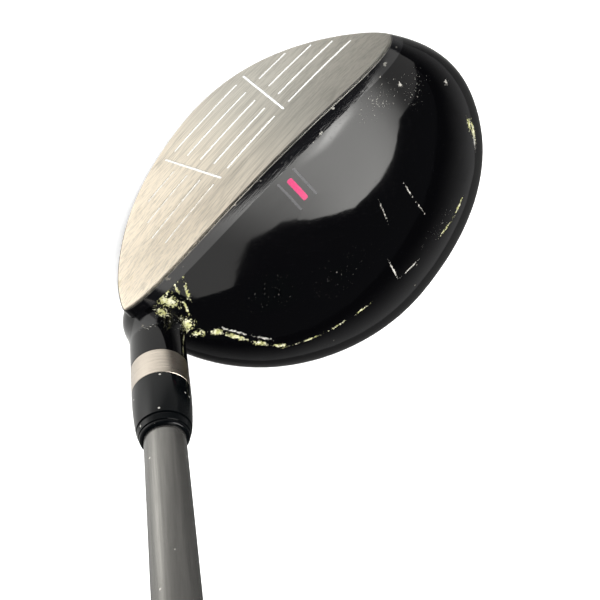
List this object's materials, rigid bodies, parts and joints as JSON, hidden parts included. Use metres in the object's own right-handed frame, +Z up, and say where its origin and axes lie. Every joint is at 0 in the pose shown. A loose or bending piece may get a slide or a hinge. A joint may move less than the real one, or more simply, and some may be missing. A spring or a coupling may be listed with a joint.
{
  "type": "hybrid golf club",
  "caption": "Right-handed fairway-style hybrid golf club: rounded hollow black head with a brushed scored face, steel trim ring, ferrule, tapered shaft and rubber grip.",
  "frame": {"origin": "centre of the flat rest spot on the sole, on the ground in the address pose", "axes": "+Z up; the face looks along -Y; the toe points along -X and the shaft leans towards +X at 59.8 degrees from the ground"},
  "size_m": [0.6225, 0.0819, 0.896],
  "materials": {
    "face_steel": "satin, brushed heel to toe",
    "score_paint": "matt white fill",
    "gloss_black": "gloss lacquer",
    "mark_pink": "gloss under clear coat",
    "mark_grey": "gloss under clear coat",
    "ring_steel": "brushed around",
    "ferrule_plastic": "gloss",
    "epoxy": "cured adhesive",
    "graphite": "satin clear coat",
    "brass": "turned",
    "cork": "raw",
    "weight_steel": "turned",
    "glue": "tacky",
    "tape": "paper",
    "grip_rubber": "matt"
  },
  "bodies": {
    "root": {"face_plate": "face_steel", "centre_line_paint": "score_paint", "toe_line_paint": "score_paint", "heel_line_paint": "score_paint", "divider_line_paint": "score_paint", "body_shell": "gloss_black", "crown_shell": "gloss_black", "alignment_bar": "mark_pink", "alignment_lines": "mark_grey", "sole_weight": "weight_steel", "rattle_glue": "glue", "hosel_neck": "gloss_black", "bore_plug": "ferrule_plastic", "hosel_epoxy": "epoxy", "trim_ring": "ring_steel", "ferrule": "ferrule_plastic", "shaft": "graphite", "tip_weight": "brass", "tip_cork": "cork", "grip_tape": "tape", "grip": "grip_rubber", "grip_cap": "grip_rubber"}
  },
  "joints": []
}
